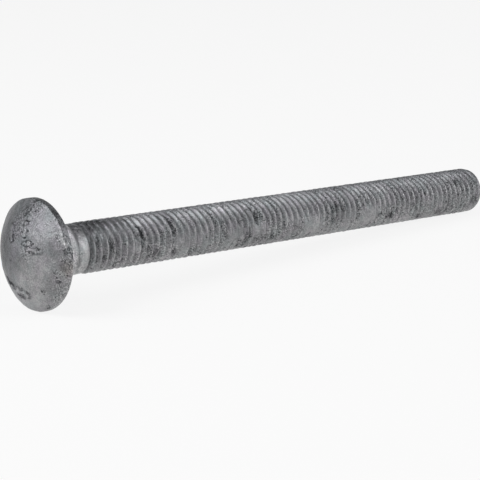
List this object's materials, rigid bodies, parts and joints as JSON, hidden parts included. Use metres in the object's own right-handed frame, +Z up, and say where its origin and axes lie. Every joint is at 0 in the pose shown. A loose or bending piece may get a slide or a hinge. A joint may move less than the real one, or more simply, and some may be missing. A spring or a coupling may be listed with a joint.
{
  "type": "carriage bolt",
  "caption": "Carriage bolt with a low domed round head, a square neck and a coarse thread to its rounded end, hot-dip galvanised, lying at rest on its head's rim and its last thread.",
  "frame": {"origin": "on the floor, under the middle of the bolt's length", "axes": "+X along the bolt from its head to its thread's end, which tips down by 2.7 degrees; +Z up"},
  "size_m": [0.1588, 0.0268, 0.0267],
  "materials": {
    "zinc": "hot-dip galvanised steel, dull mottled grey"
  },
  "bodies": {
    "root": {"bolt": "zinc"}
  },
  "joints": []
}
